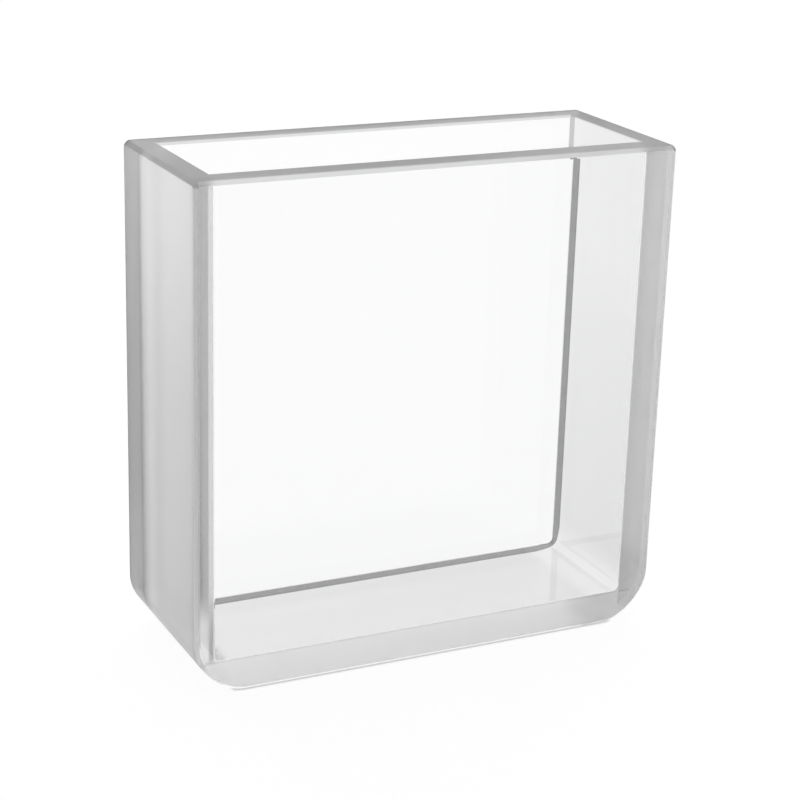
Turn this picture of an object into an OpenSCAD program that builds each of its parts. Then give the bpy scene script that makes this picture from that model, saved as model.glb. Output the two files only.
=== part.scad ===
// Rectangular optical glass cell, open at the top.
// A U-shaped frame is ground outside and polished inside. Two polished windows
// are fused to its front and rear faces and close the sample space.
// Origin: centre of the base. X runs across the windows, Y along the light path, Z up.

/* [Cell] */
// Outer width of the cell, across the windows
cell_width = 36; // [24:1:60]
// Outer height of the cell
cell_height = 36; // [20:1:70]
// Light path, the gap between the two windows
path_length = 10; // [6:0.5:30]

/* [Walls] */
// Thickness of each window
window_thickness = 2; // [1:0.1:4]
// Thickness of the frame's side walls
side_thickness = 1.8; // [1:0.1:4]
// Thickness of the frame's bottom
bottom_thickness = 1.9; // [1:0.1:4]

/* [Corners and edges] */
// Outer radius of the two bottom corners
outer_radius = 3.8; // [1.5:0.1:8]
// Inner radius of the two bottom corners of the sample space
inner_radius = 0.5; // [0.3:0.1:4]
// Leg of the ground bevel on every outer edge
bevel = 0.3; // [0.1:0.05:0.8]

/* [Hidden] */
// Outer depth, through both windows and the path between them
cell_depth = path_length + 2 * window_thickness;
// The sample space ends where the frame's walls begin
space_width = cell_width - 2 * side_thickness;
// Cutters reach this far past the faces that they cut
overcut = 1;
ground_glass = [0.80, 0.82, 0.83];
clear_glass = [0.93, 0.96, 0.98, 0.4];
$fn = 96;

// Upright rectangle that stands on the X axis, with its two lower corners rounded
module round_bottomed(width, height, radius) {
    translate([-width / 2, radius])
        square([width, height - radius]);
    translate([-width / 2 + radius, 0])
        square([width - 2 * radius, height]);
    for (side = [-1, 1])
        translate([side * (width / 2 - radius), radius])
            circle(radius);
}

// Section of a bevel cutter, for a corner at the origin with the solid below and to
// the left of it. Its slope takes one bevel leg off each of the corner's two faces.
module bevel_section() {
    polygon([
        [-bevel - overcut, overcut],
        [overcut, -bevel - overcut],
        [overcut, overcut]
    ]);
}

// Cutter for a straight edge along Z between a face towards +X and one towards +Y
module edge_cutter(length) {
    linear_extrude(length, center = true)
        bevel_section();
}

// Cutter for the bevel round one face's U: both sides, the bottom and its two
// rounded corners, for the front face
module face_edge_cutter() {
    corner_x = cell_width / 2 - outer_radius;
    upright = cell_height - outer_radius + overcut;
    translate([0, -cell_depth / 2, 0]) {
        for (side = [0, 1])
            mirror([side, 0, 0]) {
                translate([cell_width / 2, 0, outer_radius + upright / 2])
                    rotate([0, 0, -90])
                        edge_cutter(upright);
                translate([corner_x, 0, outer_radius])
                    rotate([90, 0, 0])
                        rotate([0, 0, -90])
                            rotate_extrude(angle = 90)
                                translate([outer_radius, 0])
                                    bevel_section();
            }
        rotate([180, 90, 0])
            edge_cutter(2 * corner_x);
    }
}

// Cutter for the four edges round the rim
module rim_edge_cutter() {
    for (turn = [0, 180])
        rotate([0, 0, turn]) {
            translate([0, cell_depth / 2, cell_height])
                rotate([0, -90, 0])
                    edge_cutter(cell_width + 2 * overcut);
            translate([cell_width / 2, 0, cell_height])
                rotate([90, 0, 0])
                    edge_cutter(cell_depth + 2 * overcut);
        }
}

// The whole cell's outer form, with every outer edge bevelled
module envelope() {
    difference() {
        rotate([90, 0, 0])
            linear_extrude(cell_depth, center = true)
                round_bottomed(cell_width, cell_height, outer_radius);
        for (face = [0, 1])
            mirror([0, face, 0])
                face_edge_cutter();
        rim_edge_cutter();
    }
}

// Layer of the envelope between two depths, from its front side to its rear side
module layer(front_y, rear_y) {
    reach = cell_width + cell_height;
    intersection() {
        envelope();
        translate([-reach / 2, front_y, -overcut])
            cube([reach, rear_y - front_y, reach]);
    }
}

// U-shaped body: two side walls and the bottom, open at the top, front and rear
module frame() {
    color(ground_glass)
        difference() {
            layer(-path_length / 2, path_length / 2);
            translate([0, 0, bottom_thickness])
                rotate([90, 0, 0])
                    linear_extrude(path_length + 2 * overcut, center = true)
                        round_bottomed(space_width, cell_height, inner_radius);
        }
}

// Polished plate that closes the front of the frame
module front_window() {
    color(clear_glass)
        layer(-cell_depth / 2, -path_length / 2);
}

// Polished plate that closes the rear of the frame
module rear_window() {
    color(clear_glass)
        layer(path_length / 2, cell_depth / 2);
}

frame();
front_window();
rear_window();
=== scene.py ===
"""Optical glass cell: polished windows on a U-shaped ground frame, as one fused piece.

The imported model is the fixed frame. The body is one solid of glass, because light passes
through its joints. The joints themselves show as thin films, the bonds, inside the glass.
"""

import math

import bpy
from bpy.props import FloatProperty, FloatVectorProperty, IntProperty, PointerProperty
from mathutils import Matrix, Vector


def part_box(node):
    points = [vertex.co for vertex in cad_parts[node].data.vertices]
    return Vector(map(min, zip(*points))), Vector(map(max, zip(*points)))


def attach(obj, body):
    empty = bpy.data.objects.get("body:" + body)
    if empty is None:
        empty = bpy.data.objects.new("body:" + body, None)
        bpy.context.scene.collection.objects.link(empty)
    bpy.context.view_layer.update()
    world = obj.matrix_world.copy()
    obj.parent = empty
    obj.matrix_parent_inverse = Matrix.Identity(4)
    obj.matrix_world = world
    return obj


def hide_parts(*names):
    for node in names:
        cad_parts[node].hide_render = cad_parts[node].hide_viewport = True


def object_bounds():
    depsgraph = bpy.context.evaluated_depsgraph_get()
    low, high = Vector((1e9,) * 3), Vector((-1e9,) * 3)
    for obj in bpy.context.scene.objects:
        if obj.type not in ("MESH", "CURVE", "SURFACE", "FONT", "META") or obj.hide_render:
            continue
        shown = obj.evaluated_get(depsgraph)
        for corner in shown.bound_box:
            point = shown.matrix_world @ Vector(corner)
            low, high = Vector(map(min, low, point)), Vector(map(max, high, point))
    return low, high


bl_info = {
    "name": "Glass Cell Workshop",
    "version": (1, 0, 0),
    "blender": (4, 5, 0),
    "location": "3D View > Sidebar > Glass Cell",
    "description": "Builds a fused optical glass cell, its bond lines and a plain studio",
    "category": "Object",
}

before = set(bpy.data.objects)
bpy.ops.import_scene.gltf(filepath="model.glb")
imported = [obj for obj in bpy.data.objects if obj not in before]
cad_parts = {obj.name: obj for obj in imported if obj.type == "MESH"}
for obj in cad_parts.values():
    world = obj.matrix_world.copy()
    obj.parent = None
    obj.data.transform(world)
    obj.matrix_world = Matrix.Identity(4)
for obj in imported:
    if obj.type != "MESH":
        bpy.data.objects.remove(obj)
CAD_LOW, CAD_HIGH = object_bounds()
FRAME_LOW, FRAME_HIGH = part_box("frame")
FRONT_LOW, FRONT_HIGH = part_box("front_window")
REAR_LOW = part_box("rear_window")[0]
MM = 0.001
SMALL = 0.02 * MM  # clearance that tells one face from the next
FLAT = 0.002 * MM  # the most by which points on one flat face differ
WELD = 0.0005 * MM  # points closer than this become one
GRIND_DEPTH = 0.004 * MM  # depth of the relief on ground faces


def cavity_walls():
    """Side and floor thickness and inner corner radius, read from the frame's own corners."""
    corners = [vertex.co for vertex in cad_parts["frame"].data.vertices]
    rim = [point for point in corners if point.z > FRAME_HIGH.z - SMALL]
    half_opening = min(abs(point.x) for point in rim)
    inner = [point for point in corners if abs(point.x) < half_opening + SMALL]
    # The underside lies between the walls too, and is left out
    raised = [point for point in inner if point.z > FRAME_LOW.z + 0.5 * MM]
    floor_top = min(point.z for point in raised)
    flat_end = max(abs(point.x) for point in raised if point.z < floor_top + FLAT)
    return FRAME_HIGH.x - half_opening, floor_top - FRAME_LOW.z, half_opening - flat_end


def outer_corner():
    """Radius of the frame's bottom corners, read from where its flat underside ends."""
    points = [vertex.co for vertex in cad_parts["frame"].data.vertices]
    underside = [abs(point.x) for point in points if point.z < FRAME_LOW.z + FLAT]
    return FRAME_HIGH.x - max(underside)


SIDE_WALL, FLOOR_WALL, INNER_RADIUS = cavity_walls()
OUTER_RADIUS = outer_corner()
WALL_FACE = CAD_HIGH.x - SIDE_WALL
FLOOR_FACE = CAD_LOW.z + FLOOR_WALL
FRONT_JOINT = FRONT_HIGH.y
REAR_JOINT = REAR_LOW.y


def length(name, description, default, least=0.0):
    """A size of the cell or a distance, in metres."""
    return FloatProperty(
        name=name,
        description=description,
        default=default,
        min=least,
        precision=6,
        unit="LENGTH",
    )


def share(name, description, default, most=1.0):
    """A share, or a tone that a colour is multiplied by."""
    return FloatProperty(
        name=name,
        description=description,
        default=default,
        min=0.0,
        max=most,
        subtype="FACTOR",
    )


def tint(name, description, default):
    """A colour."""
    return FloatVectorProperty(
        name=name,
        description=description,
        default=default,
        size=3,
        min=0.0,
        max=1.0,
        subtype="COLOR",
    )


def angle(name, description, degrees):
    """An angle, given in degrees."""
    return FloatProperty(
        name=name,
        description=description,
        default=math.radians(degrees),
        subtype="ANGLE",
    )


def light(name, description, default):
    """A light level, where 1 is white."""
    return FloatProperty(name=name, description=description, default=default, min=0.0)


class GlassCellSizes(bpy.types.PropertyGroup):
    """Sizes of the cell's own shape that a user would change."""

    outer_radius: length(
        "Outer radius",
        "Radius of the two bottom corners outside",
        OUTER_RADIUS,
        0.5 * MM,
    )
    inner_radius: length(
        "Inner radius",
        "Radius of the two bottom corners of the sample space",
        INNER_RADIUS,
        0.1 * MM,
    )
    corner_flat: length(
        "Corner flat",
        "How far hand grinding has taken the outer corners inside a true arc",
        0.15 * MM,
    )
    bevel: length(
        "Edge bevel",
        "Width of the ground bevel round both windows and the rim's ends",
        0.3 * MM,
        0.02 * MM,
    )
    arris: length(
        "Mouth arris",
        "Width of the small bevel along both windows at the mouth",
        0.2 * MM,
        0.02 * MM,
    )
    softening: length(
        "Softening",
        "Radius that grinding and polishing leave on every sharp edge",
        0.12 * MM,
        0.005 * MM,
    )
    arc_steps: IntProperty(
        name="Arc steps",
        description="Flat steps in each rounded corner",
        default=48,
        min=4,
        max=96,
    )
    bond_thickness: length(
        "Bond thickness",
        "Thickness of the bond between a window and the frame",
        0.02 * MM,
        0.005 * MM,
    )
    bond_start: share(
        "Bond start",
        "Share of the wall thickness between the sample space and the start of a bond",
        0.01,
    )
    rear_reach: share(
        "Rear bond reach",
        "Share of the wall thickness where the rear bond ends",
        0.8,
    )
    front_reach: share(
        "Front bond reach",
        "Share of the wall thickness where the front bond ends",
        0.96,
    )


class GlassCellFinish(bpy.types.PropertyGroup):
    """Colours, tones and surface values of the glass and its bonds."""

    refractive_index: FloatProperty(
        name="Refractive index",
        description="Index of the glass, 1.46 for fused silica",
        default=1.46,
        min=1.3,
        max=1.9,
    )
    clear_colour: tint("Clear glass", "Tint of the polished faces", (0.978, 0.979, 0.982))
    handling_haze: share("Handling haze", "Roughness of the faint cloud of handling", 0.02)
    corner_haze: share("Corner haze", "Roughness along the inner bottom corners", 0.2)
    ground_colour: tint("Ground glass", "Tint of the finely ground faces", (0.85, 0.85, 0.85))
    ground_roughness: share("Ground roughness", "Roughness of the ground sides and bottom", 0.5)
    # From here to the left band, all but the base polish are painted light and shade on the ground
    # faces: paler at the rim, darker near the base, a paler base, the left face darker than the
    # right, and a darker band on the left face
    rim_gain: share("Rim gain", "How much paler the ground sides are at the rim", 0.30)
    base_loss: share("Base loss", "How much darker the ground sides are near the base", 0.12)
    base_tone: share("Base tone", "Tone of the ground underside and corners", 1.15, 2.0)
    base_polish: share("Base polish", "How much less rough the underside and corners are", 0.08)
    left_tone: share("Left tone", "Tone of the left ground face", 0.89, 2.0)
    right_tone: share("Right tone", "Tone of the right ground face", 1.04, 2.0)
    left_band: share("Left band", "How much darker the band on the left face is", 0.42)
    bevel_roughness: share("Bevel roughness", "Roughness of the upright bevels", 0.30)
    rim_roughness: share("Rim roughness", "Roughness of the rim and its bevels", 0.60)
    # From here to the rim tone: painted light and shade on the bevels and rim, the low bevel tone
    # a painted highlight
    bevel_tone: share("Bevel tone", "Tone of the upright bevels", 1.12, 2.0)
    low_bevel_tone: share("Low bevel tone", "Tone of the bevels round the base", 1.18, 2.0)
    top_bevel_tone: share("Top bevel tone", "Tone of the rim's front and rear bevels", 0.80, 2.0)
    rim_tone: share("Rim tone", "Tone of the rim and of its bevels on the sides", 0.45, 2.0)
    # Painted shade: the right bevels darken towards their outer edge
    right_edge_shade: share("Right edge shade", "Tone of the right bevels at their outer edge", 0.55, 2.0)
    nick_loss: share("Nick loss", "How much darker a nick is", 0.05)
    bond_colour: tint("Bond", "Colour of the bonds inside the glass", (0.15, 0.15, 0.15))
    rear_cover: share("Rear cover", "Cover of the rear bond", 0.49)
    rear_cover_top: share("Rear cover at the top", "Cover of the rear bond near the rim", 0.20)
    rear_bead: share("Rear bead", "Extra cover along both edges of the rear bond", 0.12)
    # From here to the right cover outside: the front bond's cover, partly its joint and partly
    # painted shade across the wall bands
    left_cover: share("Left cover", "Cover of the front bond in the left wall", 0.22)
    corner_cover: share("Corner cover", "Cover of the front bond low in the left wall", 0.26)
    right_cover: share("Right cover", "Cover of the front bond in the right wall, inside", 0.135)
    right_cover_out: share("Right cover, outside", "The same at the wall's outer side", 0.085)
    front_bead: share("Front bead", "Extra cover of the front bond along the floor", 0.16)


class GlassCellStudio(bpy.types.PropertyGroup):
    """Camera place, floor and light levels."""

    azimuth: angle(
        "Azimuth",
        "How far the camera stands to the left of the front window's axis",
        26.25,
    )
    elevation: angle("Elevation", "How far the camera looks down", 18.787)
    roll: angle("Roll", "Turn of the camera about its own axis", 1.70)
    distance: length(
        "Distance",
        "From the camera to the point that it aims at",
        0.15189,
        10.0 * MM,
    )
    aim_right: length(
        "Aim right",
        "How far right of the cell's centre the camera aims",
        0.32 * MM,
        -1.0,
    )
    aim_height: length("Aim height", "Height above the base at which the camera aims", 17.13 * MM)
    lens: FloatProperty(
        name="Lens",
        description="Focal length on a 36 mm sensor",
        default=94.84,
        min=10.0,
        unit="CAMERA",
    )
    surround: light("Surround", "Level of the white surround at and below the horizon", 1.0)
    screen: light("Overhead screen", "Level of the lit screen high behind the cell", 1.2)
    dim: light("Dim sides", "Level above the horizon at the front and the sides", 0.24)
    zenith: light("Zenith", "Level straight overhead", 0.72)
    screen_heading: angle(
        "Screen heading",
        "How far right of straight behind the cell the screen stands",
        22.5,
    )
    floor_radius: length("Floor radius", "Radius of the white table top", 1.5, 0.1)
    floor_tone: share("Floor tone", "Tone of the table top's paper", 0.9)
    floor_glow: light("Floor glow", "Level of the table top's glow, times the surround", 1.1)
    glow_share: share("Glow share", "Share of the glow, where the rest is paper", 0.85)
    contact_reach: length("Contact reach", "How far the shade under the cell spreads", 0.2 * MM)
    contact_shade: share("Contact shade", "Tone of the glow where the cell touches it", 0.45)
    bounces: IntProperty(
        name="Bounces",
        description="How often light may pass through the glass or bounce inside it",
        default=24,
        min=4,
    )


class Tree:
    """Writes a node tree: each call adds a node, sets it up and feeds its sockets."""

    def __init__(self, tree):
        self.tree = tree

    def add(self, kind, feeds=None, **settings):
        """A new node with those settings, and with values or links in its inputs."""
        node = self.tree.nodes.new(kind)
        for name, value in settings.items():
            setattr(node, name, value)
        for socket, value in (feeds or {}).items():
            self.feed(node.inputs[socket], value)
        return node

    def feed(self, socket, value):
        """Links an output to a socket, or sets the socket to a plain value."""
        if isinstance(value, bpy.types.NodeSocket):
            self.tree.links.new(value, socket)
        else:
            socket.default_value = value

    def math(self, operation, *values):
        """The result of a sum on numbers or sockets."""
        feeds = dict(enumerate(values))
        return self.add("ShaderNodeMath", feeds, operation=operation).outputs[0]

    def product(self, first, *others):
        """All the values multiplied together."""
        result = first
        for value in others:
            result = self.math("MULTIPLY", result, value)
        return result

    def blend(self, factor, low, high):
        """A plain number between low and high."""
        feeds = {0: factor, 2: low, 3: high}
        return self.add("ShaderNodeMix", feeds, data_type="FLOAT").outputs[0]

    def ramp(self, value, low, high, out_low=0.0, out_high=1.0):
        """A smooth step between two values."""
        feeds = {0: value, 1: low, 2: high, 3: out_low, 4: out_high}
        node = self.add("ShaderNodeMapRange", feeds, interpolation_type="SMOOTHSTEP")
        return node.outputs[0]


class ShapeTree(Tree):
    """A geometry node group with named inputs and outputs."""

    def __init__(self, name, inputs, outputs):
        super().__init__(bpy.data.node_groups.new(name, "GeometryNodeTree"))
        for label, kind in inputs:
            self.tree.interface.new_socket(label, in_out="INPUT", socket_type="NodeSocket" + kind)
        for label, kind in outputs:
            self.tree.interface.new_socket(label, in_out="OUTPUT", socket_type="NodeSocket" + kind)
        self.given = self.add("NodeGroupInput").outputs
        self.result = self.add("NodeGroupOutput").inputs

    def group(self, inner, feeds):
        """What another shape makes from those inputs."""
        node = self.tree.nodes.new("GeometryNodeGroup")
        node.node_tree = inner.tree
        for label, value in feeds.items():
            self.feed(node.inputs[label], value)
        return node.outputs[0]

    def compare(self, operation, first, second):
        """A test between two numbers."""
        feeds = {0: first, 1: second}
        node = self.add("FunctionNodeCompare", feeds, data_type="FLOAT", operation=operation)
        return node.outputs[0]

    def switch(self, kind, test, otherwise, chosen):
        """One of two values, picked by a test."""
        feeds = {"Switch": test, "False": otherwise, "True": chosen}
        return self.add("GeometryNodeSwitch", feeds, input_type=kind).outputs[0]

    def both(self, *tests):
        """True where every test holds."""
        joined = tests[0]
        for test in tests[1:]:
            joined = self.add("FunctionNodeBooleanMath", {0: joined, 1: test}).outputs[0]
        return joined

    def subtract(self, solid, cutter):
        """One solid with another cut out of it."""
        feeds = {"Mesh 1": solid, "Mesh 2": cutter}
        node = self.add("GeometryNodeMeshBoolean", feeds, operation="DIFFERENCE", solver="EXACT")
        return node.outputs[0]

    def xyz(self, vector):
        """The three parts of a vector."""
        return self.add("ShaderNodeSeparateXYZ", {0: vector}).outputs

    def vector(self, x, y, z):
        """A vector from its three parts."""
        return self.add("ShaderNodeCombineXYZ", {0: x, 1: y, 2: z}).outputs[0]


OUTLINE_INPUTS = (
    ("Width", "Float"),
    ("Bottom", "Float"),
    ("Top", "Float"),
    ("Radius", "Float"),
    ("Flat", "Float"),
    ("Chamfer", "Float"),
    ("Arc Steps", "Int"),
)
CELL_INPUTS = (
    ("Width", "Float"),
    ("Bottom", "Float"),
    ("Top", "Float"),
    ("Side Wall", "Float"),
    ("Floor Wall", "Float"),
    ("Outer Radius", "Float"),
    ("Inner Radius", "Float"),
    ("Corner Flat", "Float"),
    ("Arc Steps", "Int"),
)


def outline_tree():
    """Closed outline, width along X and height along Y: rounded below, chamfered above."""
    t = ShapeTree("Cell outline", OUTLINE_INPUTS, [("Curve", "Geometry")])
    given = t.given
    height = t.math("SUBTRACT", given["Top"], given["Bottom"])
    sheet = t.add(
        "GeometryNodeCurvePrimitiveQuadrilateral",
        {"Width": given["Width"], "Height": height},
        mode="RECTANGLE",
    ).outputs[0]
    x, y, _ = t.xyz(t.add("GeometryNodeInputPosition").outputs[0])
    lower = t.compare("LESS_THAN", y, 0.0)
    rounding = t.switch("FLOAT", lower, 0.0, given["Radius"])
    rounded = t.add(
        "GeometryNodeFilletCurve",
        {"Curve": sheet, "Count": given["Arc Steps"], "Radius": rounding},
        mode="POLY",
    ).outputs[0]

    # Grinding takes the arcs inwards: by nothing at their ends, and most in their middle
    half_width = t.math("MULTIPLY", given["Width"], 0.5)
    centre_reach = t.math("SUBTRACT", half_width, given["Radius"])
    centre_x = t.math("MULTIPLY", t.math("SIGN", x), centre_reach)
    centre_y = t.math("SUBTRACT", given["Radius"], t.math("MULTIPLY", height, 0.5))
    out_x = t.math("DIVIDE", t.math("SUBTRACT", x, centre_x), given["Radius"])
    out_y = t.math("DIVIDE", t.math("SUBTRACT", y, centre_y), given["Radius"])
    double_sine = t.product(2.0, t.product(out_x, out_y))
    depth = t.product(given["Flat"], t.product(double_sine, double_sine))
    inward = t.math("MULTIPLY", depth, -1.0)
    shift = t.vector(t.product(out_x, inward), t.product(out_y, inward), 0.0)
    flattened = t.add(
        "GeometryNodeSetPosition",
        {"Geometry": rounded, "Selection": lower, "Offset": shift},
    ).outputs[0]

    cutting = t.switch("FLOAT", lower, given["Chamfer"], 0.0)
    chamfered = t.add(
        "GeometryNodeFilletCurve",
        {"Curve": flattened, "Count": 1, "Radius": cutting},
        mode="POLY",
    ).outputs[0]
    middle = t.math("MULTIPLY", t.math("ADD", given["Top"], given["Bottom"]), 0.5)
    lifted = t.add(
        "GeometryNodeTransform",
        {"Geometry": chamfered, "Translation": t.vector(0.0, middle, 0.0)},
    ).outputs[0]
    t.feed(t.result["Curve"], lifted)
    return t


def prism_tree(outline):
    """A closed solid between two depths on that outline, with both long edges bevelled."""
    inputs = OUTLINE_INPUTS + (("Front", "Float"), ("Rear", "Float"), ("Bevel", "Float"))
    t = ShapeTree("Cell prism", inputs, [("Mesh", "Geometry")])
    given = t.given
    bevel = given["Bevel"]
    feeds = {label: given[label] for label, _ in OUTLINE_INPUTS}
    full = t.group(outline, feeds)

    # Moving a chamfered corner inwards shortens its chamfer by this share of the bevel
    corner_loss = t.math("MULTIPLY", bevel, 2.0 - math.sqrt(2.0))
    chamfer = t.math("MAXIMUM", t.math("SUBTRACT", given["Chamfer"], corner_loss), 0.0)
    narrowed = {
        "Width": t.math("SUBTRACT", given["Width"], t.math("MULTIPLY", bevel, 2.0)),
        "Bottom": t.math("ADD", given["Bottom"], bevel),
        "Top": t.math("SUBTRACT", given["Top"], bevel),
        "Radius": t.math("SUBTRACT", given["Radius"], bevel),
        "Chamfer": chamfer,
    }
    inset = t.group(outline, feeds | narrowed)

    # The skin is a grid of four rows, numbered 0 to 3 from front to rear. Each row follows
    # the outline once round, and its last point repeats its first. Adding 0.5 and 0.25
    # keeps whole numbers clear of rounding
    count = t.add("GeometryNodeAttributeDomainSize", {0: full}, component="CURVE").outputs[0]
    stations = t.math("ADD", count, 1.0)
    grid = t.add("GeometryNodeMeshGrid", {"Vertices X": 4, "Vertices Y": stations}).outputs[0]
    index = t.add("GeometryNodeInputIndex").outputs[0]
    row = t.math("FLOOR", t.math("DIVIDE", t.math("ADD", index, 0.5), stations))
    station = t.math("SUBTRACT", index, t.math("MULTIPLY", row, stations))
    station = t.math("FLOORED_MODULO", t.math("ADD", station, 0.25), count)
    station = t.math("FLOOR", station)
    place = t.add("GeometryNodeInputPosition").outputs[0]

    def on_curve(curve):
        """Where this station lies on a curve."""
        feeds = {"Geometry": curve, "Value": place, "Index": station}
        node = t.add("GeometryNodeSampleIndex", feeds, data_type="FLOAT_VECTOR", domain="POINT")
        return node.outputs[0]

    # Rows 1 and 2 are at full size, and rows 0 and 3 are inset by the bevel
    halfway = 1.5
    from_halfway = t.math("ABSOLUTE", t.math("SUBTRACT", row, halfway))
    middle = t.compare("LESS_THAN", from_halfway, 1.0)
    spot = t.switch("VECTOR", middle, on_curve(inset), on_curve(full))
    x, z, _ = t.xyz(spot)
    near = t.switch("FLOAT", middle, given["Front"], t.math("ADD", given["Front"], bevel))
    far = t.switch("FLOAT", middle, given["Rear"], t.math("SUBTRACT", given["Rear"], bevel))
    depth = t.switch("FLOAT", t.compare("GREATER_THAN", row, halfway), near, far)
    skin = t.add(
        "GeometryNodeSetPosition",
        {"Geometry": grid, "Position": t.vector(x, depth, z)},
    ).outputs[0]

    lid = t.add("GeometryNodeFillCurve", {0: inset}, mode="NGONS").outputs[0]
    ends = []
    for side in ("Front", "Rear"):
        feeds = {
            "Geometry": lid,
            "Translation": t.vector(0.0, given[side], 0.0),
            "Rotation": (math.pi / 2, 0.0, 0.0),
        }
        end = t.add("GeometryNodeTransform", feeds).outputs[0]
        if side == "Rear":
            end = t.add("GeometryNodeFlipFaces", {0: end}).outputs[0]
        ends.append(end)
    parts = t.add("GeometryNodeJoinGeometry")
    for part in (skin, *ends):
        t.tree.links.new(part, parts.inputs[0])
    feeds = {"Geometry": parts.outputs[0], "Distance": WELD}
    closed = t.add("GeometryNodeMergeByDistance", feeds).outputs[0]
    t.feed(t.result["Mesh"], closed)
    return t


def cell_tree(prism):
    """The fused cell: a bevelled prism, the sample space cut from it, and its finishes."""
    inputs = CELL_INPUTS + (
        ("Front", "Float"),
        ("Rear", "Float"),
        ("Window", "Float"),
        ("Bevel", "Float"),
        ("Ground Glass", "Material"),
        ("Clear Glass", "Material"),
        ("Bevel Glass", "Material"),
    )
    t = ShapeTree("Fused cell", inputs, [("Mesh", "Geometry")])
    given = t.given
    blank = t.group(
        prism,
        {
            "Width": given["Width"],
            "Bottom": given["Bottom"],
            "Top": given["Top"],
            "Radius": given["Outer Radius"],
            "Flat": given["Corner Flat"],
            "Chamfer": given["Bevel"],
            "Arc Steps": given["Arc Steps"],
            "Front": given["Front"],
            "Rear": given["Rear"],
            "Bevel": given["Bevel"],
        },
    )
    both_walls = t.math("MULTIPLY", given["Side Wall"], 2.0)
    inner_width = t.math("SUBTRACT", given["Width"], both_walls)
    inner_front = t.math("ADD", given["Front"], given["Window"])
    inner_rear = t.math("SUBTRACT", given["Rear"], given["Window"])
    floor_top = t.math("ADD", given["Bottom"], given["Floor Wall"])
    space = t.group(
        prism,
        {
            "Width": inner_width,
            "Bottom": floor_top,
            "Top": t.math("ADD", given["Top"], MM),
            "Radius": given["Inner Radius"],
            "Flat": 0.0,
            "Chamfer": 0.0,
            "Arc Steps": given["Arc Steps"],
            "Front": inner_front,
            "Rear": inner_rear,
            "Bevel": 0.0,
        },
    )
    cell = t.subtract(blank, space)

    # The two window edges of the mouth are marked for the arris
    place_x, place_y, place_z = t.xyz(t.add("GeometryNodeInputPosition").outputs[0])
    just_below_top = t.math("SUBTRACT", given["Top"], SMALL)
    half_inner = t.math("ADD", t.math("MULTIPLY", inner_width, 0.5), SMALL)
    window_gap = t.math("ABSOLUTE", t.math("SUBTRACT", t.math("ABSOLUTE", place_y), inner_rear))
    in_width = t.compare("LESS_THAN", t.math("ABSOLUTE", place_x), half_inner)
    mouth = t.both(
        t.compare("GREATER_THAN", place_z, just_below_top),
        in_width,
        t.compare("LESS_THAN", window_gap, SMALL),
    )
    cell = t.add(
        "GeometryNodeStoreNamedAttribute",
        {"Geometry": cell, "Selection": mouth, "Name": "bevel_weight_edge", "Value": 1.0},
        data_type="FLOAT",
        domain="EDGE",
    ).outputs[0]

    # Polished faces are those inside and those square to the light path. Bevels slant from
    # it, or belong to the rim
    inside = t.both(
        t.compare("GREATER_THAN", place_y, t.math("SUBTRACT", inner_front, SMALL)),
        t.compare("LESS_THAN", place_y, t.math("ADD", inner_rear, SMALL)),
        in_width,
        t.compare("GREATER_THAN", place_z, t.math("SUBTRACT", floor_top, SMALL)),
        t.compare("LESS_THAN", place_z, just_below_top),
    )
    square_on = 0.99
    leaning = 0.1
    _, normal_y, normal_z = t.xyz(t.add("GeometryNodeInputNormal").outputs[0])
    along = t.math("ABSOLUTE", normal_y)
    facing = t.compare("GREATER_THAN", along, square_on)
    slanted = t.both(
        t.compare("GREATER_THAN", along, leaning),
        t.compare("LESS_THAN", along, square_on),
    )
    rim_height = t.math("SUBTRACT", given["Top"], given["Bevel"])
    rim = t.both(
        t.compare("GREATER_THAN", place_z, rim_height),
        t.compare("GREATER_THAN", normal_z, leaning),
    )
    choices = (
        (None, "Ground Glass"),
        (slanted, "Bevel Glass"),
        (rim, "Bevel Glass"),
        (facing, "Clear Glass"),
        (inside, "Clear Glass"),
    )
    for selection, finish in choices:
        feeds = {"Geometry": cell, "Material": given[finish]}
        if selection is not None:
            feeds["Selection"] = selection
        cell = t.add("GeometryNodeSetMaterial", feeds).outputs[0]
    real = t.add("GeometryNodeRealizeInstances", {0: cell}).outputs[0]
    t.feed(t.result["Mesh"], real)
    return t


def bond_tree(prism):
    """A thin U-shaped sheet between two offsets inside the wall."""
    inputs = CELL_INPUTS + (
        ("From Share", "Float"),
        ("To Share", "Float"),
        ("Depth", "Float"),
        ("Thickness", "Float"),
        ("Bond", "Material"),
    )
    t = ShapeTree("Bond line", inputs, [("Mesh", "Geometry")])
    given = t.given
    half = t.math("MULTIPLY", given["Thickness"], 0.5)

    def sheet(fill, thickening, lift):
        """A sheet that fills that share of the wall, thicker and taller where it cuts."""
        left = t.math("SUBTRACT", 1.0, fill)
        side = t.math("MULTIPLY", given["Side Wall"], left)
        floor = t.math("MULTIPLY", given["Floor Wall"], left)
        thick = t.math("MULTIPLY", half, thickening)
        return t.group(
            prism,
            {
                "Width": t.math("SUBTRACT", given["Width"], t.math("MULTIPLY", side, 2.0)),
                "Bottom": t.math("ADD", given["Bottom"], floor),
                "Top": t.math("ADD", given["Top"], lift),
                "Radius": t.blend(fill, given["Inner Radius"], given["Outer Radius"]),
                "Flat": t.math("MULTIPLY", given["Corner Flat"], fill),
                "Chamfer": 0.0,
                "Arc Steps": given["Arc Steps"],
                "Front": t.math("SUBTRACT", given["Depth"], thick),
                "Rear": t.math("ADD", given["Depth"], thick),
                "Bevel": 0.0,
            },
        )

    strip = t.subtract(sheet(given["To Share"], 1.0, 0.0), sheet(given["From Share"], 4.0, MM))
    real = t.add("GeometryNodeRealizeInstances", {0: strip}).outputs[0]
    feeds = {"Geometry": real, "Material": given["Bond"]}
    finished = t.add("GeometryNodeSetMaterial", feeds).outputs[0]
    t.feed(t.result["Mesh"], finished)
    return t


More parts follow.
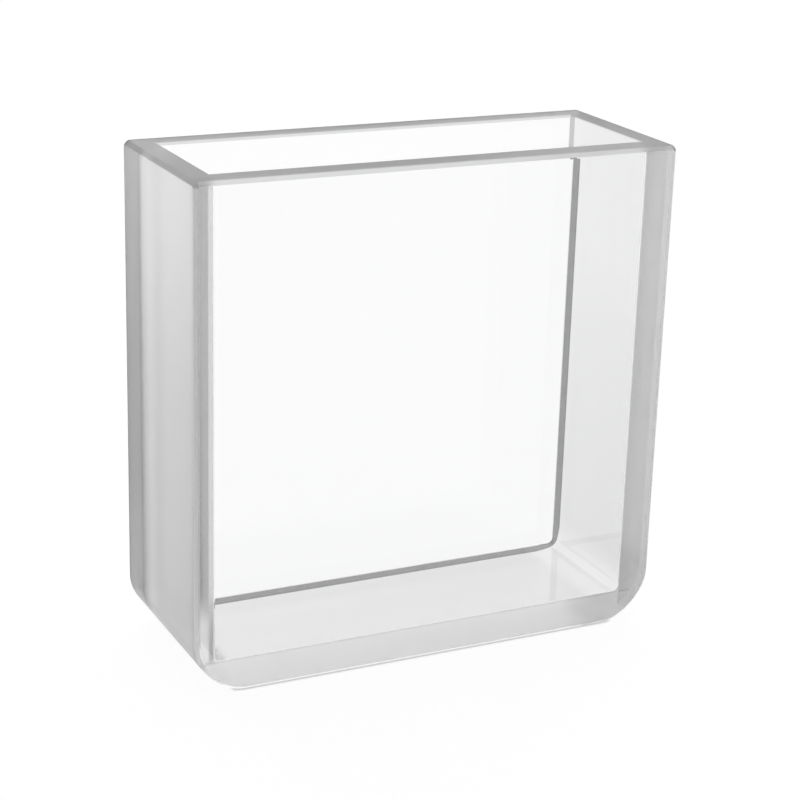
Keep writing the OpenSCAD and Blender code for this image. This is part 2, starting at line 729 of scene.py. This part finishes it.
def grow(name, shape, values, arris=0.0, softening=0.0):
    """Runs a geometry tree and returns what it makes as an object with a plain mesh."""
    empty = bpy.data.meshes.new(name)
    piece = bpy.data.objects.new(name, empty)
    bpy.context.scene.collection.objects.link(piece)
    modifier = piece.modifiers.new("Shape", "NODES")
    modifier.node_group = shape.tree
    for item in shape.tree.interface.items_tree:
        if item.in_out == "INPUT":
            modifier[item.identifier] = values[item.name]
    if arris:
        cut = piece.modifiers.new("Arris", "BEVEL")
        cut.limit_method = "WEIGHT"
        cut.width = arris
        cut.segments = 1
        cut.offset_type = "OFFSET"
    if softening:
        soft = piece.modifiers.new("Softening", "BEVEL")
        soft.limit_method = "ANGLE"
        soft.angle_limit = math.radians(20.0)
        soft.width = softening
        soft.segments = 2
        soft.offset_type = "OFFSET"
    evaluated = piece.evaluated_get(bpy.context.evaluated_depsgraph_get())
    mesh = bpy.data.meshes.new_from_object(evaluated)
    piece.modifiers.clear()
    piece.data = mesh
    bpy.data.meshes.remove(empty)
    mesh.name = name
    while None in mesh.materials[:]:
        mesh.materials.pop(index=mesh.materials[:].index(None))
    if not mesh.polygons:
        raise RuntimeError(f"the shape of {name} came out empty")
    return piece


class Surface(Tree):
    """A new material with an empty tree."""

    def __init__(self, name):
        material = bpy.data.materials.new(name)
        material.use_nodes = True
        material.node_tree.nodes.clear()
        super().__init__(material.node_tree)
        self.material = material


class Finish(Surface):
    """A procedural material on Object coordinates."""

    def __init__(self, name):
        super().__init__(name)
        self.place = self.add("ShaderNodeTexCoord").outputs["Object"]

    def position(self):
        """A point's place across the windows, along the light path and upwards."""
        return self.add("ShaderNodeSeparateXYZ", {0: self.place}).outputs

    def outside_space(self):
        """How far a point lies outside the sample space, through a side wall or the floor."""
        across, _, height = self.position()
        sideways = self.math("SUBTRACT", self.math("ABSOLUTE", across), WALL_FACE)
        below = self.math("SUBTRACT", FLOOR_FACE, height)
        return self.math("MAXIMUM", sideways, below)

    def facing(self):
        """0 where a face is met head on, rising to 1 where it is met edge on."""
        return self.add("ShaderNodeLayerWeight", {"Blend": 0.5}).outputs["Facing"]

    def noise(self, size, stretch=(1.0, 1.0, 1.0), detail=2.0, roughness=0.5):
        """Noise between 0 and 1, with features of about that size in metres."""
        mapped = self.add("ShaderNodeMapping", {"Vector": self.place, "Scale": stretch}).outputs[0]
        feeds = {
            "Vector": mapped,
            "Scale": 1.0 / size,
            "Detail": detail,
            "Roughness": roughness,
        }
        return self.add("ShaderNodeTexNoise", feeds).outputs[0]

    def around(self, middle, *swings):
        """A number that swings about a middle: swings are (noise, amount) pairs."""
        value = middle
        for noise, amount in swings:
            centred = self.math("SUBTRACT", noise, 0.5)
            value = self.math("ADD", value, self.math("MULTIPLY", centred, amount))
        return value

    def tint(self, colour, factor):
        """A colour times a number."""
        grey = self.add("ShaderNodeCombineColor", {0: factor, 1: factor, 2: factor}).outputs[0]
        feeds = {0: 1.0, 6: (*colour, 1.0), 7: grey}
        node = self.add("ShaderNodeMix", feeds, data_type="RGBA", blend_type="MULTIPLY")
        return node.outputs[2]

    def bump(self, height, strength):
        """A shallow relief, as deep as fine grinding leaves."""
        feeds = {"Height": height, "Strength": strength, "Distance": GRIND_DEPTH}
        return self.add("ShaderNodeBump", feeds).outputs[0]

    def glass(self, index, colour, roughness, normal=None):
        """Clear or rough glass with that tint at each crossing."""
        feeds = {
            "Base Color": colour,
            "Roughness": roughness,
            "IOR": index,
            "Transmission Weight": 1.0,
        }
        if normal is not None:
            feeds["Normal"] = normal
        shader = self.add("ShaderNodeBsdfPrincipled", feeds).outputs[0]
        self.add("ShaderNodeOutputMaterial", {"Surface": shader})
        return self.material

    def film(self, colour, cover):
        """A dull film that lets part of the light straight through."""
        feeds = {
            "Base Color": colour,
            "Roughness": 0.6,
            "Alpha": cover,
            "Specular IOR Level": 0.0,
        }
        shader = self.add("ShaderNodeBsdfPrincipled", feeds).outputs[0]
        self.add("ShaderNodeOutputMaterial", {"Surface": shader})
        return self.material


def clear_glass(finish):
    """Polished glass: a faint cloud of handling, and haze along the inner bottom corners."""
    f = Finish("polished")
    cloud = f.noise(3.0 * MM, detail=3.0)
    colour = f.tint(finish.clear_colour, f.around(0.997, (cloud, 0.006)))
    handling = f.math("MULTIPLY", f.ramp(cloud, 0.45, 0.85), finish.handling_haze)

    # The haze lies near a side wall, near the floor and between the windows
    haze_starts = 0.8 * MM
    haze_full = 0.2 * MM
    across, along, height = f.position()
    sideways = f.math("ABSOLUTE", across)
    beside = f.ramp(sideways, WALL_FACE - haze_starts, WALL_FACE - haze_full)
    low = f.ramp(height, FLOOR_FACE + haze_starts, FLOOR_FACE + haze_full)
    within = f.math("LESS_THAN", f.math("ABSOLUTE", along), REAR_JOINT + SMALL)
    corner = f.product(beside, low, within, finish.corner_haze)
    return f.glass(finish.refractive_index, colour, f.math("ADD", handling, corner))


def ground_glass(finish):
    """Finely ground glass: grain, faint upright grinding marks, a mottle and slow tones of painted
    light and shade.
    """
    f = Finish("ground")
    grain = f.noise(0.11 * MM, detail=3.0, roughness=0.6)
    marks = f.noise(0.35 * MM, stretch=(1.0, 1.0, 0.03))
    mottle = f.noise(4.0 * MM)
    across, along, height = f.position()

    # Painted light and shade: the sides paler up to the rim and darker towards the base, the left
    # face darker than the right, and one paler tone for the base and its corners
    gain_starts = CAD_LOW.z + 18.0 * MM
    loss_starts = CAD_LOW.z + 22.0 * MM
    loss_full = CAD_LOW.z + 2.0 * MM
    upper = f.ramp(height, gain_starts, CAD_HIGH.z, 0.0, finish.rim_gain)
    lower = f.ramp(height, loss_starts, loss_full, 0.0, -finish.base_loss)
    side = f.ramp(across, CAD_LOW.x, CAD_HIGH.x, finish.left_tone, finish.right_tone)
    upright = f.math("ADD", 1.0, f.math("ADD", upper, lower))
    base = f.ramp(height, CAD_LOW.z + 3.2 * MM, CAD_LOW.z + 1.8 * MM)
    tone = f.blend(base, f.product(upright, side), finish.base_tone)

    # A band of painted shade on the left face darkens towards the rear joint and stops just before
    # it
    left = f.ramp(across, CAD_LOW.x + 0.6 * MM, CAD_LOW.x + 0.1 * MM)
    deepens = f.ramp(along, REAR_JOINT - 3.6 * MM, REAR_JOINT - 1.6 * MM, 0.0, finish.left_band)
    stops = f.ramp(along, REAR_JOINT - 1.5 * MM, REAR_JOINT - 1.0 * MM, 1.0, 0.0)
    tone = f.math("SUBTRACT", tone, f.product(deepens, left, stops))

    tone = f.around(tone, (mottle, 0.06), (marks, 0.05), (grain, 0.05))
    roughness = f.around(finish.ground_roughness, (mottle, 0.05), (marks, 0.08))
    roughness = f.math("SUBTRACT", roughness, f.math("MULTIPLY", base, finish.base_polish))
    colour = f.tint(finish.ground_colour, tone)
    return f.glass(finish.refractive_index, colour, roughness, f.bump(grain, 0.35))


def bevel_glass(finish):
    """Bevels and rim, ground finer, with small nicks along their edges and tones of painted light
    and shade.
    """
    f = Finish("ground_edge")
    grain = f.noise(0.08 * MM, detail=3.0, roughness=0.6)
    run = f.noise(1.6 * MM)
    nicks = f.ramp(f.noise(0.22 * MM, detail=1.0), 0.70, 0.80)
    across, _, height = f.position()

    # How far a point belongs to the top bevels, the rim, the sides and the base
    sideways = f.math("ABSOLUTE", across)
    topmost = f.ramp(height, CAD_HIGH.z - 0.5 * MM, CAD_HIGH.z - 0.3 * MM)
    rim = f.ramp(height, CAD_HIGH.z - 0.06 * MM, CAD_HIGH.z - 0.02 * MM)
    sides = f.ramp(sideways, CAD_HIGH.x - 0.4 * MM, CAD_HIGH.x - 0.3 * MM)
    lowest = f.ramp(height, CAD_LOW.z + 1.2 * MM, CAD_LOW.z + 0.4 * MM)
    # Painted shade on the right side only: the bevels darken towards their outer edge
    edge_shade_starts = CAD_HIGH.x - 0.35 * MM
    edge_shade_full = CAD_HIGH.x - 0.06 * MM

    # Painted light and shade: the rim and the side bevels at the top darkest, the front and rear
    # top bevels darker, the upright bevels paler, and the bevels round the base palest as a
    # painted highlight
    tone = f.blend(sides, finish.top_bevel_tone, finish.rim_tone)
    tone = f.blend(topmost, finish.bevel_tone, tone)
    tone = f.blend(rim, tone, finish.rim_tone)
    tone = f.blend(lowest, tone, finish.low_bevel_tone)
    tone = f.product(tone, f.ramp(across, edge_shade_starts, edge_shade_full, 1.0, finish.right_edge_shade))
    tone = f.around(tone, (run, 0.06), (grain, 0.05))
    tone = f.math("SUBTRACT", tone, f.math("MULTIPLY", nicks, finish.nick_loss))
    roughness = f.blend(topmost, finish.bevel_roughness, finish.rim_roughness)
    roughness = f.blend(lowest, roughness, 0.5 * finish.bevel_roughness)
    roughness = f.around(roughness, (run, 0.06), (grain, 0.05))
    colour = f.tint(finish.ground_colour, tone)
    return f.glass(finish.refractive_index, colour, roughness, f.bump(grain, 0.10))


def rear_bond(finish, sizes):
    """The rear bond: grey where it is met at a slant, paler near the rim and on the left."""
    f = Finish("rear_bond")
    streak = f.noise(1.2 * MM)
    fine = f.noise(0.15 * MM)
    across, _, height = f.position()
    outward = f.outside_space()

    # It is faint in the left wall, and narrower near the rim
    deep = f.ramp(height, CAD_HIGH.z - 2.2 * MM, CAD_HIGH.z - 3.2 * MM)
    left_face = CAD_LOW.x + SIDE_WALL
    half_wall = 0.5 * SIDE_WALL
    filled = f.ramp(across, left_face - half_wall, left_face + half_wall, 0.1, 1.0)
    width = f.blend(deep, 0.55 * SIDE_WALL, SIDE_WALL)
    filled = f.product(filled, f.math("LESS_THAN", outward, width))

    # A darker bead runs along each of its edges
    bead_starts = 0.25 * MM
    bead_full = 0.10 * MM
    edge = sizes.rear_reach * SIDE_WALL
    inner_bead = f.ramp(outward, bead_starts, bead_full)
    outer_bead = f.ramp(outward, edge - bead_starts, edge - bead_full)
    beads = f.math("MULTIPLY", f.math("ADD", inner_bead, outer_bead), finish.rear_bead)

    # It shows only where it is met at a slant
    slant_starts = 0.27
    slant_full = 0.38
    slanted = f.ramp(f.facing(), slant_starts, slant_full)
    level = f.math("ADD", f.blend(deep, finish.rear_cover_top, finish.rear_cover), beads)
    uneven = f.around(1.0, (streak, 0.12), (fine, 0.10))
    cover = f.product(filled, slanted, level, uneven)
    return f.film(f.tint(finish.bond_colour, f.around(1.0, (streak, 0.15), (fine, 0.15))), cover)


def front_bond(finish):
    """The front bond: a faint grey film at the front joint, seen where it is met nearly head on,
    whose cover by place is painted shade across the wall bands.
    """
    f = Finish("front_bond")
    streak = f.noise(1.2 * MM)
    across, _, height = f.position()
    outward = f.math("SUBTRACT", f.math("ABSOLUTE", across), WALL_FACE)
    in_wall = f.math("GREATER_THAN", outward, 0.0)

    # In the left wall its painted shade keeps to the outside, and low down it moves to the inside
    upright = f.ramp(height, CAD_LOW.z + 3.0 * MM, CAD_LOW.z + 8.0 * MM)
    outside = f.ramp(outward, 0.30 * MM, 0.42 * MM, 0.0, finish.left_cover)
    above_floor = f.ramp(height, FLOOR_FACE - 0.2 * MM, FLOOR_FACE + 0.4 * MM)
    inside = f.ramp(outward, 0.5 * MM, 0.2 * MM, 0.0, finish.corner_cover)
    left = f.blend(upright, f.product(in_wall, above_floor, inside), outside)

    # In the right wall its cover is painted shade, darker inside than outside
    right_covers = (finish.right_cover, finish.right_cover_out)
    right = f.product(in_wall, f.ramp(outward, 0.2 * MM, 1.1 * MM, *right_covers))
    cover = f.blend(f.math("GREATER_THAN", across, 0.0), left, right)

    # A bead runs along the floor
    down = f.math("SUBTRACT", FLOOR_FACE, height)
    in_floor = f.math("GREATER_THAN", down, 0.0)
    bead = f.product(in_floor, f.ramp(down, 0.12 * MM, 0.06 * MM), finish.front_bead)
    cover = f.math("ADD", cover, bead)

    head_on_starts = 0.22
    head_on_full = 0.10
    head_on = f.ramp(f.facing(), head_on_starts, head_on_full)
    cover = f.product(cover, head_on, f.around(1.0, (streak, 0.3)))
    return f.film(f.tint(finish.bond_colour, f.around(1.0, (streak, 0.15))), cover)


def shared_inputs(sizes):
    """Inputs that the trees of the body and of the bonds share, except for their top."""
    return {
        "Width": CAD_HIGH.x - CAD_LOW.x,
        "Bottom": CAD_LOW.z,
        "Side Wall": SIDE_WALL,
        "Floor Wall": FLOOR_WALL,
        "Outer Radius": sizes.outer_radius,
        "Inner Radius": sizes.inner_radius,
        "Corner Flat": sizes.corner_flat,
        "Arc Steps": sizes.arc_steps,
    }


class GLASSCELL_OT_body(bpy.types.Operator):
    """Build the fused glass body and let it stand for the three CAD solids"""

    bl_idname = "glasscell.body"
    bl_label = "Glass body"
    bl_options = {"REGISTER", "UNDO"}

    def execute(self, context):
        sizes = context.scene.glasscell_sizes
        finish = context.scene.glasscell_finish
        values = shared_inputs(sizes) | {
            "Top": CAD_HIGH.z,
            "Front": CAD_LOW.y,
            "Rear": CAD_HIGH.y,
            "Window": FRONT_HIGH.y - FRONT_LOW.y,
            "Bevel": sizes.bevel,
            "Ground Glass": ground_glass(finish),
            "Clear Glass": clear_glass(finish),
            "Bevel Glass": bevel_glass(finish),
        }
        shape = cell_tree(prism_tree(outline_tree()))
        body = grow("glass_body", shape, values, sizes.arris, sizes.softening)
        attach(body, "root")
        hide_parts("frame", "front_window", "rear_window")
        return {"FINISHED"}


class GLASSCELL_OT_bonds(bpy.types.Operator):
    """Build the bond lines between the windows and the frame"""

    bl_idname = "glasscell.bonds"
    bl_label = "Bond lines"
    bl_options = {"REGISTER", "UNDO"}

    def execute(self, context):
        sizes = context.scene.glasscell_sizes
        finish = context.scene.glasscell_finish
        rear = rear_bond(finish, sizes)
        front = front_bond(finish)
        rear_top = CAD_HIGH.z - SMALL
        front_top = rear_top - sizes.bevel
        lines = (
            ("rear_bond", REAR_JOINT, rear_top, sizes.rear_reach, rear),
            ("front_bond", FRONT_JOINT, front_top, sizes.front_reach, front),
        )
        shape = bond_tree(prism_tree(outline_tree()))
        for name, depth, top, reach, bond in lines:
            values = shared_inputs(sizes) | {
                "Top": top,
                "From Share": sizes.bond_start,
                "To Share": reach,
                "Depth": depth,
                "Thickness": sizes.bond_thickness,
                "Bond": bond,
            }
            piece = grow(name, shape, values)
            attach(piece, "root")
        return {"FINISHED"}


class GLASSCELL_OT_studio(bpy.types.Operator):
    """Set up the floor, the surround and the camera"""

    bl_idname = "glasscell.studio"
    bl_label = "Studio"
    bl_options = {"REGISTER", "UNDO"}

    def execute(self, context):
        studio = context.scene.glasscell_studio
        self.floor(studio)
        self.surround(studio)
        self.camera(studio)
        cycles = context.scene.cycles
        cycles.max_bounces = studio.bounces
        cycles.transmission_bounces = studio.bounces
        cycles.glossy_bounces = studio.bounces // 2
        cycles.transparent_max_bounces = studio.bounces
        context.scene.view_settings.view_transform = "Standard"
        return {"FINISHED"}

    def floor(self, studio):
        """A plain white table top that keeps the cell's soft shadow."""
        bpy.ops.mesh.primitive_circle_add(
            vertices=96,
            radius=studio.floor_radius,
            fill_type="NGON",
            location=(0.0, 0.0, CAD_LOW.z - SMALL),
        )
        table = bpy.context.object
        table.name = "floor"
        f = Surface("floor_white")
        rays = f.add("ShaderNodeLightPath").outputs
        seen = f.math("MAXIMUM", rays["Is Camera Ray"], rays["Is Glossy Ray"])
        seen = f.math("MAXIMUM", seen, rays["Is Transmission Ray"])
        paper_colour = (studio.floor_tone, studio.floor_tone, studio.floor_tone, 1.0)
        paper = f.add("ShaderNodeBsdfDiffuse", {"Color": paper_colour}).outputs[0]

        # Where the camera sees it, the glow takes a painted shadow close under the cell
        feeds = {"Distance": studio.contact_reach}
        contact = f.add("ShaderNodeAmbientOcclusion", feeds, samples=16)
        shaded = f.blend(contact.outputs["AO"], studio.contact_shade, 1.0)
        open_share = f.blend(rays["Is Camera Ray"], 1.0, shaded)
        level = f.math("MULTIPLY", studio.floor_glow * studio.surround, open_share)
        glow = f.add("ShaderNodeEmission", {"Strength": level}).outputs[0]
        feeds = {0: studio.glow_share, 1: paper, 2: glow}
        white = f.add("ShaderNodeMixShader", feeds).outputs[0]
        mixed = f.add("ShaderNodeMixShader", {0: seen, 1: paper, 2: white}).outputs[0]
        f.add("ShaderNodeOutputMaterial", {"Surface": mixed})
        table.data.materials.append(f.material)

    def surround(self, studio):
        """White at and below the horizon, a lit screen high behind, dimmer elsewhere."""
        world = bpy.data.worlds.new("studio")
        bpy.context.scene.world = world
        world.use_nodes = True
        world.node_tree.nodes.clear()
        t = Tree(world.node_tree)
        way = t.add("ShaderNodeTexCoord").outputs["Generated"]
        x, y, z = t.add("ShaderNodeSeparateXYZ", {0: way}).outputs

        # How squarely the way heads for the screen's middle, seen from above
        to_right = t.math("MULTIPLY", x, math.sin(studio.screen_heading))
        to_rear = t.math("MULTIPLY", y, math.cos(studio.screen_heading))
        across = t.math("SQRT", t.math("SUBTRACT", 1.0, t.math("MULTIPLY", z, z)))
        never_zero = t.math("MAXIMUM", across, 0.01)
        heading = t.math("DIVIDE", t.math("ADD", to_right, to_rear), never_zero)

        # Zones fade into each other by height above the horizon, 1 being overhead
        low_zone_ends = (0.14, 0.28)
        screen_rises = (0.3, 0.75)
        zenith_starts = (0.82, 0.91)
        screen_edge = (0.55, 0.86)
        screen_levels = (0.8 * studio.screen, 1.1 * studio.screen)
        screen = t.blend(t.ramp(z, *screen_rises), *screen_levels)
        upper = t.blend(t.ramp(heading, *screen_edge), studio.dim, screen)
        upper = t.blend(t.ramp(z, *zenith_starts), upper, studio.zenith)
        level = t.blend(t.ramp(z, *low_zone_ends), studio.surround, upper)
        camera = t.add("ShaderNodeLightPath").outputs["Is Camera Ray"]
        level = t.blend(camera, level, 1.0)
        sky = t.add("ShaderNodeBackground", {"Color": (1.0, 1.0, 1.0, 1.0), "Strength": level})
        t.add("ShaderNodeOutputWorld", {"Surface": sky.outputs[0]})

    def camera(self, studio):
        """Camera at the set angles, aimed at a point in the cell."""
        turn, tilt, roll = studio.azimuth, studio.elevation, studio.roll
        level = math.cos(tilt)
        ahead = Vector((math.sin(turn) * level, math.cos(turn) * level, -math.sin(tilt)))
        right = Vector((math.cos(turn), -math.sin(turn), 0.0))
        above = right.cross(ahead)
        turned_right = math.cos(roll) * right + math.sin(roll) * above
        turned_up = math.cos(roll) * above - math.sin(roll) * right
        middle = (CAD_LOW + CAD_HIGH) / 2
        aim = Vector((middle.x + studio.aim_right, middle.y, CAD_LOW.z + studio.aim_height))
        data = bpy.data.cameras.new("camera")
        data.lens = studio.lens
        data.sensor_width = 36.0
        data.clip_start = MM
        camera = bpy.data.objects.new("camera", data)
        axes = Matrix((turned_right, turned_up, -ahead)).transposed()
        place = Matrix.Translation(aim - ahead * studio.distance)
        camera.matrix_world = place @ axes.to_4x4()
        bpy.context.scene.collection.objects.link(camera)
        bpy.context.scene.camera = camera


class GLASSCELL_PT_panel(bpy.types.Panel):
    """Sizes, finishes and steps of the glass cell"""

    bl_idname = "GLASSCELL_PT_panel"
    bl_label = "Glass Cell"
    bl_space_type = "VIEW_3D"
    bl_region_type = "UI"
    bl_category = "Glass Cell"

    def draw(self, context):
        layout = self.layout
        scene = context.scene
        for group in (scene.glasscell_sizes, scene.glasscell_finish, scene.glasscell_studio):
            box = layout.box()
            for name in group.__annotations__:
                box.prop(group, name)
        for step in STEPS:
            layout.operator(step.bl_idname)


STEPS = (GLASSCELL_OT_body, GLASSCELL_OT_bonds, GLASSCELL_OT_studio)
GROUPS = (GlassCellSizes, GlassCellFinish, GlassCellStudio)
CLASSES = GROUPS + STEPS + (GLASSCELL_PT_panel,)


def register():
    """Adds the classes, and the settings to the scene."""
    for cls in CLASSES:
        bpy.utils.register_class(cls)
    bpy.types.Scene.glasscell_sizes = PointerProperty(type=GlassCellSizes)
    bpy.types.Scene.glasscell_finish = PointerProperty(type=GlassCellFinish)
    bpy.types.Scene.glasscell_studio = PointerProperty(type=GlassCellStudio)


def unregister():
    """Takes away what register added."""
    del bpy.types.Scene.glasscell_studio
    del bpy.types.Scene.glasscell_finish
    del bpy.types.Scene.glasscell_sizes
    for cls in reversed(CLASSES):
        bpy.utils.unregister_class(cls)


def main():
    """Builds everything."""
    register()
    bpy.ops.glasscell.body()
    bpy.ops.glasscell.bonds()
    bpy.ops.glasscell.studio()


if __name__ == "__main__":
    main()
